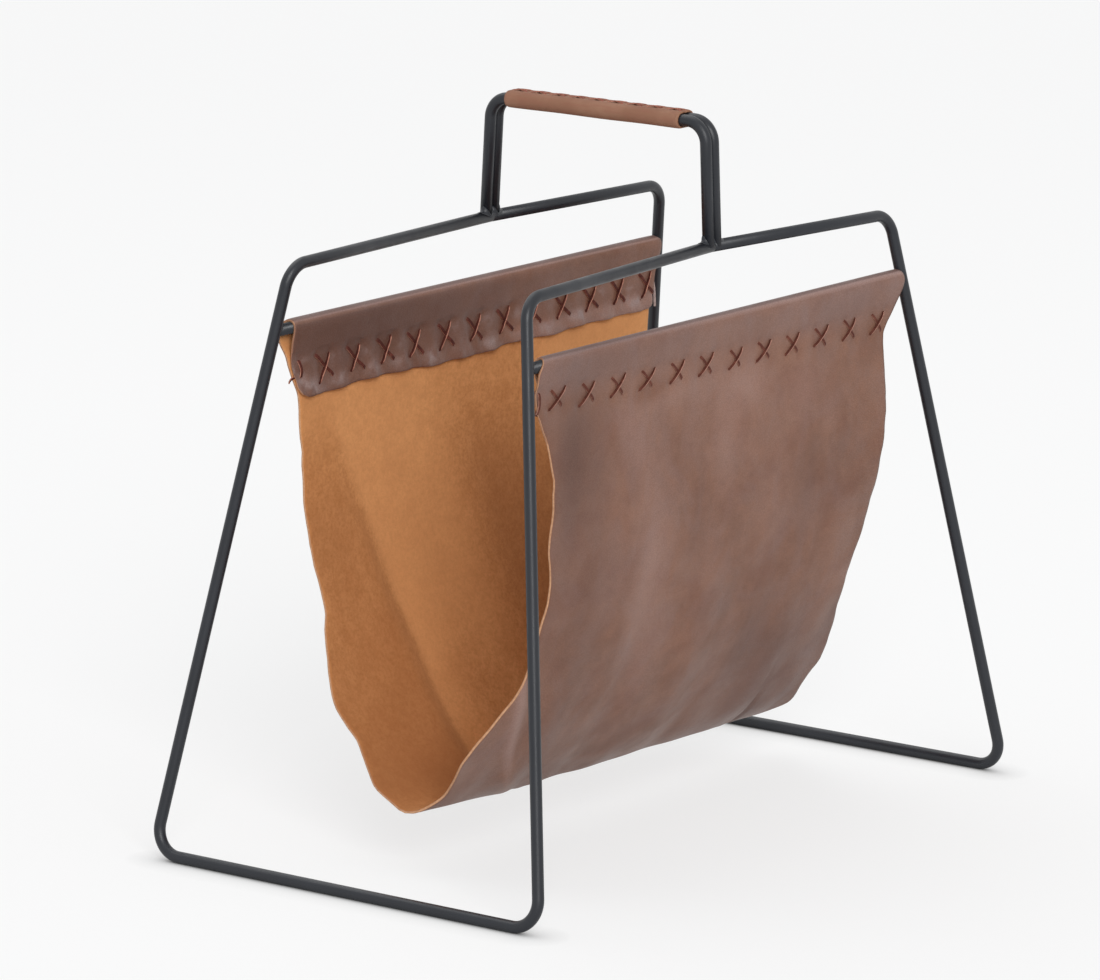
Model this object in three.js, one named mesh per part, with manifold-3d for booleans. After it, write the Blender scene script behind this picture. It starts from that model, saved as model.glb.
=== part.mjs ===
// A magazine rack: a bent rod frame with a carrying handle, and one sheet of leather hung between
// two cross rods as an open-ended sling. X runs along the rack, Y from front to back, Z up.
import * as THREE from 'three';
import { mergeVertices } from 'three/addons/utils/BufferGeometryUtils.js';
import Module from 'manifold-3d';

const wasm = await Module();
wasm.setup();

// Driving dimensions in mm. The frame's points are the crossings of the rods' centrelines.
const rodRadius = 4;
const footHalfLength = 275;
const footHalfWidth = 159.7;
const shoulderHalfLength = 209.8;
const shoulderHalfWidth = 96.5;
const shoulderHeight = 400;
const peakHalfWidth = 91.9;
const peakRise = 5.2;
const frameBendRadius = 18;
const handleFootHalfWidth = 92.6;
const handleTopHalfWidth = 88.6;
const handleRise = 83.3;
const handleBendRadius = 15;
const handleOffCentre = 3.5;
const slingRodDrop = 43.8;
const gripFrontReach = 69.5;
const gripBackReach = 74;
const gripThickness = 1.6;
const leatherThickness = 2.2;
const hemHalfLength = 208;
const hemPressDrop = 20.2;
const flapDepth = 27;
const flapCornerInset = 5;

// Clearances: one where a piece butts, is cut round or rests on its neighbour.
const seatGap = 0.3;

// Heights that follow from those: each level is set from the one below or above it.
const peakHeight = shoulderHeight + peakRise;
const handleHeight = peakHeight + handleRise;
const slingRodHeight = shoulderHeight - slingRodDrop;
const hemPressHeight = slingRodHeight - hemPressDrop;
const flapEdgeHeight = hemPressHeight - flapDepth;

// The sling's section below the hem is one Bezier curve from the hem's lower edge to the bottom.
const panelHalfWidth = 104.3;
const panelBulgeHalfWidth = 114;
const panelBulgeHeight = 134;
const bottomFlatHalfWidth = 26;
const bottomHeight = 43;
const bottomSag = 8;

// The sheet's wavy ends: each pair is a share of the height from the bottom to the sling rods,
// and how far out the edge stands there, as a share of the hem's half length.
const leftEdgeShares = [
  [0.973, 1], [0.779, 0.913], [0.618, 0.918], [0.425, 0.885], [0.184, 0.981], [0.055, 0.99], [0, 0.957],
];
const rightEdgeShares = [
  [0.963, 1.005], [0.853, 0.942], [0.683, 0.966], [0.351, 0.885], [0.254, 0.899], [0.132, 1.014], [0, 1.024],
];

// The sheet's main folds, each with its depth in mm.
const frontRippleDepth = 1.6;
const frontRippleLength = 124;
const frontRippleLean = 0.35;
const backRidgeDepth = 4;
const backRidgeWidth = 46;
const backRidgeStart = -128;
const backRidgeTravel = 96;
const foldStartShare = 0.12;

// Counts of facets and steps.
const rodSides = 16;
const bendSteps = 6;
const gripArcSteps = 10;
const wrapSteps = 6;
const hemSteps = 2;
const panelSteps = 10;
const sheetColumns = 12;

const frameMaterialLook = { color: '#3a3b3e', roughness: 0.45, metalness: 0.6 };
const slingLook = { color: '#7f5f54', roughness: 0.55, metalness: 0 };
const gripLook = { color: '#97705c', roughness: 0.6, metalness: 0 };

const group = new THREE.Group();
group.name = 'magazine_rack';

function addMesh(name, geometry, look) {
  const mesh = new THREE.Mesh(geometry, new THREE.MeshStandardMaterial(look));
  mesh.name = name;
  group.add(mesh);
  return mesh;
}

// A path that is only sampled at its own stations, each a point and a tangent, so that the
// straight runs stay one facet long. The rings keep one roll, set at the middle station.
class StationPath extends THREE.Curve {
  constructor(stations, middleNormal) {
    super();
    this.stations = stations;
    this.middleNormal = middleNormal;
  }

  stationAt(share) {
    return this.stations[Math.round(share * (this.stations.length - 1))];
  }

  getPoint(share, target = new THREE.Vector3()) {
    return target.copy(this.stationAt(share).point);
  }

  getPointAt(share, target) {
    return this.getPoint(share, target);
  }

  getTangentAt(share, target = new THREE.Vector3()) {
    return target.copy(this.stationAt(share).tangent);
  }

  computeFrenetFrames() {
    const tangents = this.stations.map((station) => station.tangent);
    const middle = Math.floor(tangents.length / 2);
    const normals = [];
    normals[middle] = this.middleNormal.clone();
    const turn = new THREE.Quaternion();
    for (let index = middle + 1; index < tangents.length; index += 1) {
      turn.setFromUnitVectors(tangents[index - 1], tangents[index]);
      normals[index] = normals[index - 1].clone().applyQuaternion(turn);
    }
    for (let index = middle - 1; index >= 0; index -= 1) {
      turn.setFromUnitVectors(tangents[index + 1], tangents[index]);
      normals[index] = normals[index + 1].clone().applyQuaternion(turn);
    }
    const binormals = tangents.map((tangent, index) => tangent.clone().cross(normals[index]));
    return { tangents, normals, binormals };
  }
}

// The stations of a rod through its corners, with an arc at each inner corner.
function bentStations(corners, bendRadius, endTangents) {
  const stations = [];
  const lastCorner = corners.length - 1;
  const legs = corners.slice(1).map((corner, index) => corner.clone().sub(corners[index]).normalize());
  stations.push({ point: corners[0], tangent: endTangents ? endTangents[0] : legs[0] });
  for (let index = 1; index < lastCorner; index += 1) {
    const before = legs[index - 1];
    const after = legs[index];
    const turnAngle = before.angleTo(after);
    const axis = before.clone().cross(after).normalize();
    const start = corners[index].clone().addScaledVector(before, -bendRadius * Math.tan(turnAngle / 2));
    const inward = axis.clone().cross(before);
    const centre = start.clone().addScaledVector(inward, bendRadius);
    for (let step = 0; step <= bendSteps; step += 1) {
      const angle = turnAngle * step / bendSteps;
      const spoke = inward.clone().negate().applyAxisAngle(axis, angle);
      stations.push({
        point: centre.clone().addScaledVector(spoke, bendRadius),
        tangent: before.clone().applyAxisAngle(axis, angle),
      });
    }
  }
  stations.push({ point: corners[lastCorner], tangent: endTangents ? endTangents[1] : legs[lastCorner - 1] });
  return stations;
}

function roundShape(radius) {
  const shape = new THREE.Shape();
  for (let side = 0; side < rodSides; side += 1) {
    const angle = (side + 0.5) * 2 * Math.PI / rodSides;
    const x = radius * Math.cos(angle);
    const y = radius * Math.sin(angle);
    if (side === 0) {
      shape.moveTo(x, y);
    } else {
      shape.lineTo(x, y);
    }
  }
  shape.closePath();
  return shape;
}

function rodAlong(stations, radius, middleNormal) {
  const path = new StationPath(stations, middleNormal);
  return new THREE.ExtrudeGeometry(roundShape(radius), {
    steps: stations.length - 1,
    bevelEnabled: false,
    extrudePath: path,
  });
}

function straightRod(start, end, radius, sideNormal) {
  return rodAlong(bentStations([start, end]), radius, sideNormal);
}

function toManifold(geometry) {
  const bare = geometry.clone();
  bare.deleteAttribute('normal');
  bare.deleteAttribute('uv');
  const merged = mergeVertices(bare);
  return new wasm.Manifold(new wasm.Mesh({
    numProp: 3,
    vertProperties: new Float32Array(merged.attributes.position.array),
    triVerts: new Uint32Array(merged.index.array),
  }));
}

function fromManifold(solid) {
  const mesh = solid.getMesh();
  const geometry = new THREE.BufferGeometry();
  geometry.setAttribute('position', new THREE.BufferAttribute(mesh.vertProperties, 3));
  geometry.setIndex(new THREE.BufferAttribute(mesh.triVerts, 1));
  geometry.computeVertexNormals();
  return geometry;
}

function cutBy(geometry, cutters) {
  let solid = toManifold(geometry);
  for (const cutter of cutters) {
    solid = solid.subtract(toManifold(cutter));
  }
  return fromManifold(solid);
}

const alongX = new THREE.Vector3(1, 0, 0);
const alongY = new THREE.Vector3(0, 1, 0);

// Flat facets face down, so the floor bars rest on their undersides.
const facetRadius = rodRadius * Math.cos(Math.PI / rodSides);
const floorBarHeight = facetRadius;

// The side rods: each is a half top bar, a leg, a floor bar, a leg and a half top bar in one
// bent rod. The two meet under the handle at both peaks.
function sideRodCorners(side) {
  const peakX = handleOffCentre + side * seatGap / 2;
  return [
    new THREE.Vector3(peakX, -peakHalfWidth, peakHeight),
    new THREE.Vector3(side * shoulderHalfLength, -shoulderHalfWidth, shoulderHeight),
    new THREE.Vector3(side * footHalfLength, -footHalfWidth, floorBarHeight),
    new THREE.Vector3(side * footHalfLength, footHalfWidth, floorBarHeight),
    new THREE.Vector3(side * shoulderHalfLength, shoulderHalfWidth, shoulderHeight),
    new THREE.Vector3(peakX, peakHalfWidth, peakHeight),
  ];
}

for (const [name, side] of [['left_side_rod', -1], ['right_side_rod', 1]]) {
  const outward = alongX.clone().multiplyScalar(side);
  const inward = outward.clone().negate();
  const stations = bentStations(sideRodCorners(side), frameBendRadius, [outward, inward]);
  addMesh(name, rodAlong(stations, rodRadius, alongX), frameMaterialLook);
}

// The cross rods butt between the legs and carry the sling's hems.
const legShareAtSling = (slingRodHeight - floorBarHeight) / (shoulderHeight - floorBarHeight);
const slingRodHalfLength = THREE.MathUtils.lerp(footHalfLength, shoulderHalfLength, legShareAtSling);
const slingRodHalfWidth = THREE.MathUtils.lerp(footHalfWidth, shoulderHalfWidth, legShareAtSling);

function legCutter(side, face) {
  const foot = new THREE.Vector3(side * footHalfLength, face * footHalfWidth, floorBarHeight);
  const shoulder = new THREE.Vector3(side * shoulderHalfLength, face * shoulderHalfWidth, shoulderHeight);
  return straightRod(foot, shoulder, rodRadius + seatGap, alongX);
}

for (const [name, face] of [['front_sling_rod', -1], ['back_sling_rod', 1]]) {
  const start = new THREE.Vector3(-slingRodHalfLength, face * slingRodHalfWidth, slingRodHeight);
  const end = new THREE.Vector3(slingRodHalfLength, face * slingRodHalfWidth, slingRodHeight);
  const whole = straightRod(start, end, rodRadius, alongY);
  addMesh(name, cutBy(whole, [legCutter(-1, face), legCutter(1, face)]), frameMaterialLook);
}

// The handle: two bent rods side by side, each standing on its side rod's two peaks.
const handleRodOffset = rodRadius + seatGap / 2;

function topBarCutter(side, face) {
  const shoulder = new THREE.Vector3(side * shoulderHalfLength, face * shoulderHalfWidth, shoulderHeight);
  const peak = new THREE.Vector3(handleOffCentre, face * peakHalfWidth, peakHeight);
  const past = peak.clone().addScaledVector(peak.clone().sub(shoulder).normalize(), rodRadius);
  return straightRod(shoulder, past, rodRadius + seatGap, alongY);
}

for (const [name, side] of [['left_handle_rod', -1], ['right_handle_rod', 1]]) {
  const x = handleOffCentre + side * handleRodOffset;
  const corners = [
    new THREE.Vector3(x, -handleFootHalfWidth, peakHeight),
    new THREE.Vector3(x, -handleTopHalfWidth, handleHeight),
    new THREE.Vector3(x, handleTopHalfWidth, handleHeight),
    new THREE.Vector3(x, handleFootHalfWidth, peakHeight),
  ];
  const whole = rodAlong(bentStations(corners, handleBendRadius), rodRadius, alongX);
  addMesh(name, cutBy(whole, [topBarCutter(side, -1), topBarCutter(side, 1)]), frameMaterialLook);
}

// The grip: a leather sleeve with a stadium section round both handle rods.
function traceStadium(outline, radius) {
  outline.moveTo(-handleRodOffset, -radius);
  outline.lineTo(handleRodOffset, -radius);
  outline.absarc(handleRodOffset, 0, radius, -Math.PI / 2, Math.PI / 2);
  outline.lineTo(-handleRodOffset, radius);
  outline.absarc(-handleRodOffset, 0, radius, Math.PI / 2, 3 * Math.PI / 2);
  return outline;
}

const gripInnerRadius = rodRadius + seatGap;
const gripShape = traceStadium(new THREE.Shape(), gripInnerRadius + gripThickness);
gripShape.holes.push(traceStadium(new THREE.Path(), gripInnerRadius));
const gripGeometry = new THREE.ExtrudeGeometry(gripShape, {
  depth: gripFrontReach + gripBackReach,
  bevelEnabled: false,
  curveSegments: gripArcSteps,
});
gripGeometry.rotateX(Math.PI / 2);
gripGeometry.translate(handleOffCentre, gripBackReach, handleHeight);
addMesh('grip_sleeve', gripGeometry, gripLook);

// The sling's section for one face, as rows with a point (y and z measured from the middle
// plane), the share of the way down the hanging panel, and whether the row is in the flap.
const wrapRadius = rodRadius + seatGap + leatherThickness / 2;
const layerOffset = (leatherThickness + seatGap) / 2;
const wrapDip = Math.asin((wrapRadius - layerOffset) / hemPressDrop);

function sectionRows() {
  const rows = [];
  for (let step = 0; step <= hemSteps; step += 1) {
    const z = THREE.MathUtils.lerp(flapEdgeHeight, hemPressHeight, step / hemSteps);
    rows.push({ y: slingRodHalfWidth - layerOffset, z, share: 0, inFlap: true, edgeStep: step });
  }
  for (let step = 0; step <= wrapSteps; step += 1) {
    const angle = THREE.MathUtils.lerp(Math.PI + wrapDip, -wrapDip, step / wrapSteps);
    const y = slingRodHalfWidth + wrapRadius * Math.cos(angle);
    const z = slingRodHeight + wrapRadius * Math.sin(angle);
    rows.push({ y, z, share: 0, inFlap: false });
  }
  rows.push({ y: slingRodHalfWidth + layerOffset, z: hemPressHeight, share: 0, inFlap: false });
  const curve = new THREE.CubicBezierCurve(
    new THREE.Vector2(panelHalfWidth, flapEdgeHeight),
    new THREE.Vector2(panelBulgeHalfWidth, panelBulgeHeight),
    new THREE.Vector2(bottomFlatHalfWidth, bottomHeight),
    new THREE.Vector2(0, bottomHeight),
  );
  for (let step = 0; step <= panelSteps; step += 1) {
    const share = step / panelSteps;
    const spot = curve.getPoint(share);
    rows.push({ y: spot.x, z: spot.y, share, inFlap: false });
  }
  return rows;
}

// How far the sheet's end stands from the middle at a height, eased between the pairs.
function edgeAt(edgeShares, height) {
  const heightShare = (height - bottomHeight) / (slingRodHeight - bottomHeight);
  const upper = edgeShares.findLastIndex((pair) => pair[0] >= heightShare);
  const above = edgeShares[Math.max(upper, 0)];
  const below = edgeShares[Math.min(upper + 1, edgeShares.length - 1)];
  const between = THREE.MathUtils.smoothstep(heightShare, below[0], above[0]);
  return hemHalfLength * THREE.MathUtils.lerp(below[1], above[1], between);
}

// How far the sheet moves outwards at a place: ripples on the front face, one slanting ridge on
// the back one. Both fade out at the hem and towards the bottom.
function foldOffset(x, share, face) {
  if (share <= foldStartShare) {
    return 0;
  }
  const fade = Math.sin(Math.PI * (share - foldStartShare) / (1 - foldStartShare));
  if (face < 0) {
    const turns = x / frontRippleLength + frontRippleLean * share;
    return frontRippleDepth * fade * Math.sin(2 * Math.PI * turns);
  }
  const ridgeMiddle = backRidgeStart + backRidgeTravel * share;
  const away = (x - ridgeMiddle) / backRidgeWidth;
  return -backRidgeDepth * fade * Math.exp(-away * away);
}

function slingGeometry() {
  const half = sectionRows();
  const backRows = half.map((row) => ({ ...row, face: 1 }));
  const frontRows = half.slice(0, -1).reverse().map((row) => ({ ...row, y: -row.y, face: -1 }));
  const rows = backRows.concat(frontRows);
  const positions = [];
  rows.forEach((row, index) => {
    const before = rows[Math.max(index - 1, 0)];
    const after = rows[Math.min(index + 1, rows.length - 1)];
    const tangent = new THREE.Vector2(after.y - before.y, after.z - before.z).normalize();
    const normal = new THREE.Vector2(-tangent.y, tangent.x);
    const inset = row.inFlap && row.edgeStep === 0 ? flapCornerInset : 0;
    const left = edgeAt(leftEdgeShares, row.z);
    const right = edgeAt(rightEdgeShares, row.z);
    for (const layer of [1, -1]) {
      for (let column = 0; column <= sheetColumns; column += 1) {
        const across = column / sheetColumns;
        const x = THREE.MathUtils.lerp(-left + inset, right - inset, across);
        const reach = layer * leatherThickness / 2 + foldOffset(x, row.share, row.face);
        const sag = bottomSag * row.share * row.share * across * (2 - across);
        positions.push(x, row.y + normal.x * reach, row.z + normal.y * reach - sag);
      }
    }
  });
  const layerSize = sheetColumns + 1;
  const rowSize = 2 * layerSize;
  const outer = (row, column) => row * rowSize + column;
  const inner = (row, column) => row * rowSize + layerSize + column;
  const indices = [];
  const quad = (a, b, c, d) => indices.push(a, b, c, a, c, d);
  const lastRow = rows.length - 1;
  for (let row = 0; row < lastRow; row += 1) {
    const next = row + 1;
    for (let column = 0; column < sheetColumns; column += 1) {
      const beside = column + 1;
      quad(outer(row, column), outer(row, beside), outer(next, beside), outer(next, column));
      quad(inner(row, column), inner(next, column), inner(next, beside), inner(row, beside));
    }
    const end = sheetColumns;
    quad(outer(row, 0), outer(next, 0), inner(next, 0), inner(row, 0));
    quad(outer(row, end), inner(row, end), inner(next, end), outer(next, end));
  }
  for (let column = 0; column < sheetColumns; column += 1) {
    const beside = column + 1;
    quad(outer(0, column), inner(0, column), inner(0, beside), outer(0, beside));
    quad(outer(lastRow, column), outer(lastRow, beside), inner(lastRow, beside), inner(lastRow, column));
  }
  const geometry = new THREE.BufferGeometry();
  geometry.setAttribute('position', new THREE.Float32BufferAttribute(positions, 3));
  geometry.setIndex(indices);
  geometry.computeVertexNormals();
  return geometry;
}

addMesh('leather_sling', slingGeometry(), slingLook);

export default group;
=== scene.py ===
import math

import bpy
import numpy as np
from mathutils import Euler, Matrix, Vector


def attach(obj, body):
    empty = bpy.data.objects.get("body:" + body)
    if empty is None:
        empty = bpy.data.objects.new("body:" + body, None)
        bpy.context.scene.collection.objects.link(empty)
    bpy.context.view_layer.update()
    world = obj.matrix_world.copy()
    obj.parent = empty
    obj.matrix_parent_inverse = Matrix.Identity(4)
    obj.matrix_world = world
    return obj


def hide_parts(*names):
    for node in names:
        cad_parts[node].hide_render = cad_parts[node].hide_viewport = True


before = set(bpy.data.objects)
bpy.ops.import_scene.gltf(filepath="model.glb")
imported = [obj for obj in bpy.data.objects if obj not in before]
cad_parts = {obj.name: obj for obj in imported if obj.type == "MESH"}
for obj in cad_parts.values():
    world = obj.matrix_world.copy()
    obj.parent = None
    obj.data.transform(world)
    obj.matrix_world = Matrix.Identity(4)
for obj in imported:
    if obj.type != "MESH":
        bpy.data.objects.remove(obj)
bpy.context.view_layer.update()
scene = bpy.context.scene

# Sizes in metres, the same as the frame's. The corners are the crossings of the rods' centrelines.
ROD_RADIUS = 0.004
SEAT_GAP = 0.0003
FOOT_HALF_LENGTH = 0.275
FOOT_HALF_WIDTH = 0.1597
SHOULDER_HALF_LENGTH = 0.2098
SHOULDER_HALF_WIDTH = 0.0965
SHOULDER_HEIGHT = 0.4
PEAK_HALF_WIDTH = 0.0919
PEAK_HEIGHT = SHOULDER_HEIGHT + 0.0052
FRAME_BEND_RADIUS = 0.018
HANDLE_OFF_CENTRE = 0.0035
HANDLE_FOOT_HALF_WIDTH = 0.0926
HANDLE_TOP_HALF_WIDTH = 0.0886
HANDLE_HEIGHT = PEAK_HEIGHT + 0.0833
HANDLE_BEND_RADIUS = 0.015
HANDLE_ROD_OFFSET = ROD_RADIUS + SEAT_GAP / 2
SLING_HEIGHT = SHOULDER_HEIGHT - 0.0438
LEG_RISE = SHOULDER_HEIGHT - ROD_RADIUS
LEG_LEAN_X = SHOULDER_HALF_LENGTH - FOOT_HALF_LENGTH
LEG_LEAN_Y = SHOULDER_HALF_WIDTH - FOOT_HALF_WIDTH
LEG_SHARE_AT_SLING = (SLING_HEIGHT - ROD_RADIUS) / LEG_RISE
SLING_HALF_LENGTH = FOOT_HALF_LENGTH + LEG_LEAN_X * LEG_SHARE_AT_SLING
SLING_HALF_WIDTH = FOOT_HALF_WIDTH + LEG_LEAN_Y * LEG_SHARE_AT_SLING

LEATHER_THICKNESS = 0.0022
HEM_HALF_LENGTH = 0.208
PRESS_HEIGHT = SLING_HEIGHT - 0.0202
FLAP_EDGE_HEIGHT = PRESS_HEIGHT - 0.027
PANEL_HALF_WIDTH = 0.1043
PANEL_BULGE_HALF_WIDTH = 0.114
PANEL_BULGE_HEIGHT = 0.134
BOTTOM_FLAT_HALF_WIDTH = 0.026
BOTTOM_HEIGHT = 0.043
BOTTOM_SAG = 0.0079
END_SAG = 0.0014

GRIP_FRONT_REACH = 0.0695
GRIP_BACK_REACH = 0.074
GRIP_LENGTH = GRIP_FRONT_REACH + GRIP_BACK_REACH
GRIP_THICKNESS = 0.0016


def srgb(*channels):
    """The linear values of a colour that is given as 0 to 255."""
    shares = [value / 255 for value in channels]
    return (*(s / 12.92 if s <= 0.04045 else ((s + 0.055) / 1.055) ** 2.4 for s in shares), 1.0)


def add_object(name, data):
    thing = bpy.data.objects.new(name, data)
    scene.collection.objects.link(thing)
    return thing


# The camera takes the photograph's view, solved from the frame's corners.
CAMERA_AZIMUTH = math.radians(-53.837)
CAMERA_ELEVATION = math.radians(12.03)
CAMERA_ROLL = math.radians(0.641)
CAMERA_PLACE = (-3.8606, -2.7854, 1.2414)
CAMERA_LENS = 234.74

camera_data = bpy.data.cameras.new("view_camera")
camera_data.sensor_width = 36
camera_data.lens = CAMERA_LENS
camera_data.clip_end = 60
camera = add_object("view_camera", camera_data)
camera.location = CAMERA_PLACE
tilt = Euler((math.pi / 2 - CAMERA_ELEVATION, 0, CAMERA_AZIMUTH)).to_matrix()
camera.rotation_euler = (tilt @ Matrix.Rotation(CAMERA_ROLL, 3, "Z")).to_euler()
scene.camera = camera


# A shape is a list of vertices, a list of faces and the material's number for each face.
def add_mesh(name, shape, materials, smooth=False):
    verts, faces, face_materials = shape
    mesh = bpy.data.meshes.new(name)
    mesh.from_pydata([tuple(v) for v in verts], [], [tuple(f) for f in faces])
    for material in materials:
        mesh.materials.append(material)
    mesh.polygons.foreach_set("material_index", face_materials)
    mesh.polygons.foreach_set("use_smooth", [smooth] * len(faces))
    mesh.update()
    return add_object(name, mesh)


def make_piece(name, shape, materials, replaced=None, smooth=True):
    """A piece on the root body, in place of a CAD node if one is named."""
    piece = add_mesh(name, shape, materials, smooth)
    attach(piece, "root")
    if replaced:
        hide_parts(replaced)
    return piece


def join_shapes(shapes):
    verts, faces, face_materials = [], [], []
    for more_verts, more_faces, more_materials in shapes:
        base = len(verts)
        verts.extend(more_verts)
        faces.extend([base + index for index in face] for face in more_faces)
        face_materials.extend(more_materials)
    return verts, faces, face_materials


def grid_faces(rows, columns, closed_rows=False, closed_columns=True):
    """Faces between rows of points that follow one another in a list."""
    grid = np.arange(rows * columns).reshape(rows, columns)
    if closed_rows:
        grid = np.vstack([grid, grid[:1]])
    if closed_columns:
        grid = np.hstack([grid, grid[:, :1]])
    corners = grid[:-1, :-1], grid[:-1, 1:], grid[1:, 1:], grid[1:, :-1]
    return np.stack(corners, axis=-1).reshape(-1, 4).tolist()


def unit(vectors):
    return vectors / np.linalg.norm(vectors, axis=-1, keepdims=True)


def tube(points, tangents, normals, section):
    """Vertices and faces of a section, as (along the normal, aside), carried along a path."""
    sides = np.cross(tangents, normals)
    offsets = normals[:, None] * section[:, :1] + sides[:, None] * section[:, 1:]
    verts = (points[:, None] + offsets).reshape(-1, 3)
    start, end = range(len(section)), range(len(verts) - len(section), len(verts))
    return verts, grid_faces(len(points), len(section)) + [start[::-1], end]


def ramp(value, low, high):
    """A smooth rise from 0 below the low value to 1 above the high one."""
    share = np.clip((value - low) / (high - low), 0, 1)
    return share * share * (3 - 2 * share)


def hump(value, middle, reach):
    """1 at the middle, falling off to both sides."""
    return np.exp(-(((value - middle) / reach) ** 2))


def wave(turns, phase=0.0):
    return np.sin(2 * np.pi * turns + phase)


class Nodes:
    """Shader nodes, added one after another."""

    def __init__(self, tree):
        self.nodes = tree.nodes
        self.links = tree.links

    def add(self, kind, *inputs, settings=None, **values):
        """A node, with what goes into its first inputs and its named ones."""
        node = self.nodes.new(kind)
        for key, value in (settings or {}).items():
            setattr(node, key, value)
        for socket, value in zip(node.inputs, inputs):
            self.feed(socket, value)
        for key, value in values.items():
            self.feed(node.inputs[key.replace("_", " ")], value)
        return node

    def feed(self, socket, value):
        if isinstance(value, bpy.types.NodeSocket):
            self.links.new(value, socket)
        else:
            socket.default_value = value

    def math(self, operation, first, second):
        node = self.add("ShaderNodeMath", first, second, settings={"operation": operation})
        return node.outputs[0]

    def mixed_shaders(self, factor, first, second):
        node = self.add("ShaderNodeMixShader", factor, first.outputs[0], second.outputs[0])
        return node.outputs[0]

    def seen_rays(self):
        """1 for rays from the camera, or seen in a reflection or through something."""
        path = self.add("ShaderNodeLightPath").outputs
        direct = self.math("MAXIMUM", path["Is Camera Ray"], path["Is Glossy Ray"])
        return self.math("MAXIMUM", direct, path["Is Transmission Ray"])


class Look(Nodes):
    """A material, painted in layers over its first colour.

    Noises take their scale and detail first, and clouds then the values that become 0 and 1.
    """

    def __init__(self, name, colour):
        self.material = bpy.data.materials.new(name)
        self.material.use_nodes = True
        super().__init__(self.material.node_tree)
        self.surface = self.nodes["Principled BSDF"]
        self.place = self.add("ShaderNodeTexCoord").outputs["Object"]
        self.colour = srgb(*colour)

    def attribute(self, name):
        return self.add("ShaderNodeAttribute", settings={"attribute_name": name}).outputs["Fac"]

    def stretched(self, scale):
        return self.add("ShaderNodeMapping", Vector=self.place, Scale=scale).outputs["Vector"]

    def noise(self, scale, detail, roughness=0.55, distortion=0.0, vector=None):
        return self.add(
            "ShaderNodeTexNoise", Vector=vector or self.place, Scale=scale,
            Detail=detail, Roughness=roughness, Distortion=distortion,
        ).outputs["Fac"]

    def spread(self, value, low, high, to_low=0.0, to_high=1.0):
        settings = {"interpolation_type": "SMOOTHSTEP"}
        node = self.add("ShaderNodeMapRange", value, low, high, to_low, to_high, settings=settings)
        return node.outputs["Result"]

    def clouds(self, scale, detail, low, high, *others, **named):
        return self.spread(self.noise(scale, detail, *others, **named), low, high)

    def cells(self, scale):
        """The distance to the edges of a pebble grain."""
        settings = {"feature": "DISTANCE_TO_EDGE"}
        node = self.add("ShaderNodeTexVoronoi", settings=settings, Vector=self.place, Scale=scale)
        return node.outputs["Distance"]

    def positive(self, value):
        return self.math("MAXIMUM", value, 0.0)

    def negative(self, value):
        """How far a value is below 0."""
        return self.positive(self.math("MULTIPLY", value, -1.0))

    def blend(self, factor, first, second, mode="MIX"):
        node = self.add("ShaderNodeMix", factor, settings={"data_type": "RGBA", "blend_type": mode})
        self.feed(node.inputs[6], first)
        self.feed(node.inputs[7], second)
        return node.outputs[2]

    def paint(self, factor, colour, amount=None):
        if amount is not None:
            factor = self.math("MULTIPLY", factor, amount)
        self.colour = self.blend(factor, self.colour, srgb(*colour))

    def bump(self, height, distance, strength, below=None):
        node = self.add("ShaderNodeBump", Height=height, Distance=distance, Strength=strength)
        if below is not None:
            self.feed(node.inputs["Normal"], below)
        return node.outputs["Normal"]

    def finish(self, **values):
        for key, value in {"Base_Color": self.colour, **values}.items():
            self.feed(self.surface.inputs[key.replace("_", " ")], value)
        return self.material


def frame_metal():
    """Satin black powder coat: a faint orange peel and slightly worn sheen."""
    look = Look("frame_metal", (26, 28, 33))
    look.paint(look.noise(22, 3), (37, 40, 46))
    rough = look.spread(look.noise(60, 3), 0.3, 0.7, 0.34, 0.44)
    peel = look.bump(look.noise(1500, 2), 0.00006, 0.35)
    return look.finish(Roughness=rough, Normal=peel, Specular_IOR_Level=0.4)


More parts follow.
